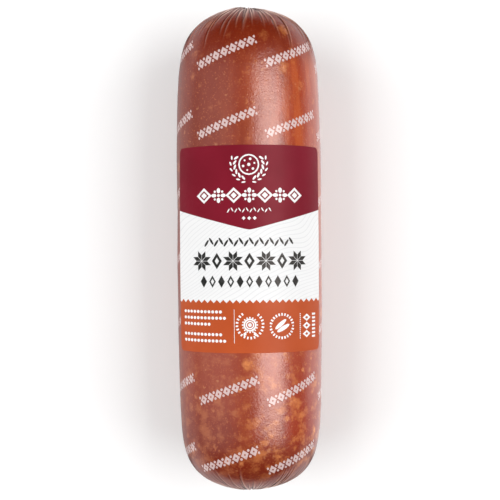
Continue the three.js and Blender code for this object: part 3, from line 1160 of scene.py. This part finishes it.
def floor_material():
    """A matt white that throws light back up at the body."""
    material, t, shader = new_material("pale_floor")
    set_shader(t, shader, Base_Color=(0.95, 0.95, 0.95), Roughness=0.9, Specular_IOR_Level=0.1)
    return material


# ---- Stage ------------------------------------------------------------------------------------
def make_floor():
    """A pale floor that lights the body from below. Its reflections come from the cards instead."""
    deselect()
    bpy.ops.mesh.primitive_plane_add(size=4, location=(0, 0, -0.02 * MM))
    floor = named("floor")
    bpy.ops.object.transform_apply(location=True)
    floor.data.materials.append(floor_material())
    floor.visible_glossy = False


def box_light(name, size, place, tilt, radiance, reflections, tint=(1, 1, 1)):
    """A rectangular light given by the brightness of its face. It shows either only in
    reflections or only in the soft light it gives."""
    bpy.ops.object.light_add(type="AREA", location=place, rotation=(0, tilt, 0))
    lamp = bpy.context.object
    lamp.name = name
    lamp.data.shape = "RECTANGLE"
    lamp.data.size, lamp.data.size_y = size
    lamp.data.energy = radiance * math.pi * size[0] * size[1]
    lamp.data.color = tint
    lamp.visible_camera = False
    lamp.visible_diffuse = not reflections
    lamp.visible_glossy = reflections


def light_round(name, size, degrees, distance, y, radiance, reflections, tint=(1, 1, 1)):
    """A light that faces the body's axis, at an angle from straight up towards +X."""
    angle = math.radians(degrees)
    place = (distance * math.sin(angle), y, AXIS_Z + distance * math.cos(angle))
    box_light(name, size, place, angle, radiance, reflections, tint)


# Low cards beside the body: name, size, place across and along, and brightness.
LOW_CARDS = [("low_left", (0.2, 0.17), (-0.13, 0), 0.4),
             ("low_right", (0.2, 0.17), (0.13, 0), 0.92),
             ("low_back", (0.06, 0.12), (0, 0.15), 0.46),
             ("low_front", (0.06, 0.12), (0, -0.15), 0.5),
             ("low_back_left", (0.2, 0.12), (-0.13, 0.15), 0.65),
             ("low_back_right", (0.2, 0.12), (0.13, 0.15), 0.95),
             ("low_front_left", (0.2, 0.12), (-0.13, -0.15), 0.6),
             ("low_front_right", (0.2, 0.12), (0.13, -0.15), 0.68)]
LOW_CARD_HEIGHT = 0.2 * MM
KEY_TINT, LOW_TINT = (1, 0.86, 0.81), (1, 0.86, 0.85)


def make_lights():
    """Two soft boxes light the body. A key card on the right, a faint wide one on the left and low
    cards that give the body's edges something pale to mirror show only in reflections."""
    for name, degrees in (("soft_right", 48), ("soft_left", -48)):
        light_round(name, (1.2, 1.4), degrees, 1.2, 0, 2.65, False)
    light_round("key_right", (0.475, 0.5), 33.4, 0.6, 0, 4.35, True, KEY_TINT)
    light_round("veil_left", (0.8, 0.7), -56, 0.6, -0.07, 0.24, True)
    for name, size, place, radiance in LOW_CARDS:
        box_light(name, size, (*place, LOW_CARD_HEIGHT), math.pi, radiance, True, LOW_TINT)


def make_world():
    """A dim even light from all round, which does not show in reflections."""
    world = bpy.data.worlds.new("studio")
    bpy.context.scene.world = world
    world.use_nodes = True
    background = world.node_tree.nodes["Background"]
    background.inputs["Color"].default_value = (1, 1, 1, 1)
    background.inputs["Strength"].default_value = 0.33
    world.cycles_visibility.glossy = False


CAMERA_HEIGHT = 0.45  # above the body's axis
CAMERA_TURN = math.radians(-0.445)


def make_camera():
    """Looks straight down on the label, turned by a hair."""
    bpy.ops.object.camera_add(location=(0.2 * MM, -0.36 * MM, AXIS_Z + CAMERA_HEIGHT),
                              rotation=(0, 0, CAMERA_TURN))
    camera = bpy.context.object
    camera.data.sensor_width = 36
    camera.data.lens = 88.93
    camera.data.clip_start = 0.01
    bpy.context.scene.camera = camera
    bpy.context.scene.view_settings.view_transform = "Standard"


# ---- The object -------------------------------------------------------------------------------
flecks = make_fleck_group()
grain = make_grain_group()

make_casing([casing_material(flecks, grain, make_print_group(), make_pleat_group())])
make_label([label_material(grain), paper_edge_material(grain)])
white_ink = ink_material("white_ink", grain, (0.72, 0.71, 0.7), (0.86, 0.86, 0.86))
black_ink = ink_material("black_ink", grain, (0.03, 0.03, 0.028), (0.012, 0.012, 0.011))
make_ink("label_white_ornaments", draw_white, white_ink)
make_ink("label_black_ornaments", draw_black, black_ink)
aluminium = clip_material(grain)
make_clip("back_clip_wire", "back_clip", 1, aluminium)
make_clip("front_clip_wire", "front_clip", -1, aluminium)
for material_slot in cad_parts["filling"].material_slots:
    material_slot.material = meat_material(flecks, grain)

make_floor()
make_lights()
make_world()
make_camera()
